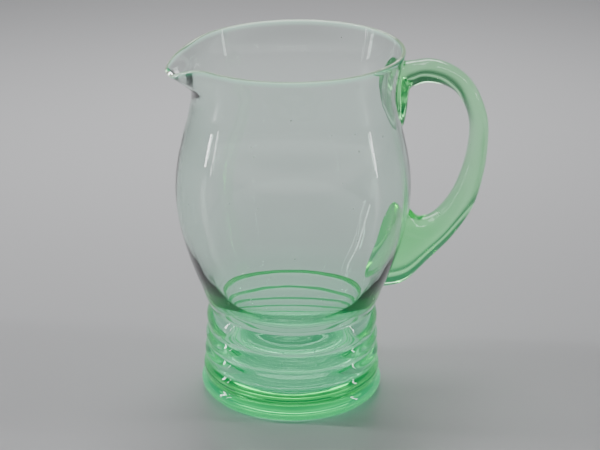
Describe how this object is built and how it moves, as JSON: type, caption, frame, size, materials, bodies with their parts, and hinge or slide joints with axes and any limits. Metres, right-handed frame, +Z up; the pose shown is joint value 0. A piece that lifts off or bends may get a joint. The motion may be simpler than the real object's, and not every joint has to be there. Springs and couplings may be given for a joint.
{
  "type": "glass jug",
  "caption": "Thin-walled blown glass jug with a round belly on a thick ringed foot, a pulled pouring spout and an applied solid loop handle.",
  "frame": {"origin": "centre of the flat underside, on the axis of the ringed foot", "axes": "+Z up along the jug's axis, +X towards the handle, -X towards the spout"},
  "size_m": [0.1822, 0.13, 0.1998],
  "materials": {
    "blown_glass": "clear, faintly green, fire-polished, glowing green under ultraviolet light",
    "handle_glass": "clear solid green glass, fire-polished, glowing green under ultraviolet light"
  },
  "bodies": {
    "root": {"jug_body": "blown_glass", "handle": "handle_glass"}
  },
  "joints": []
}
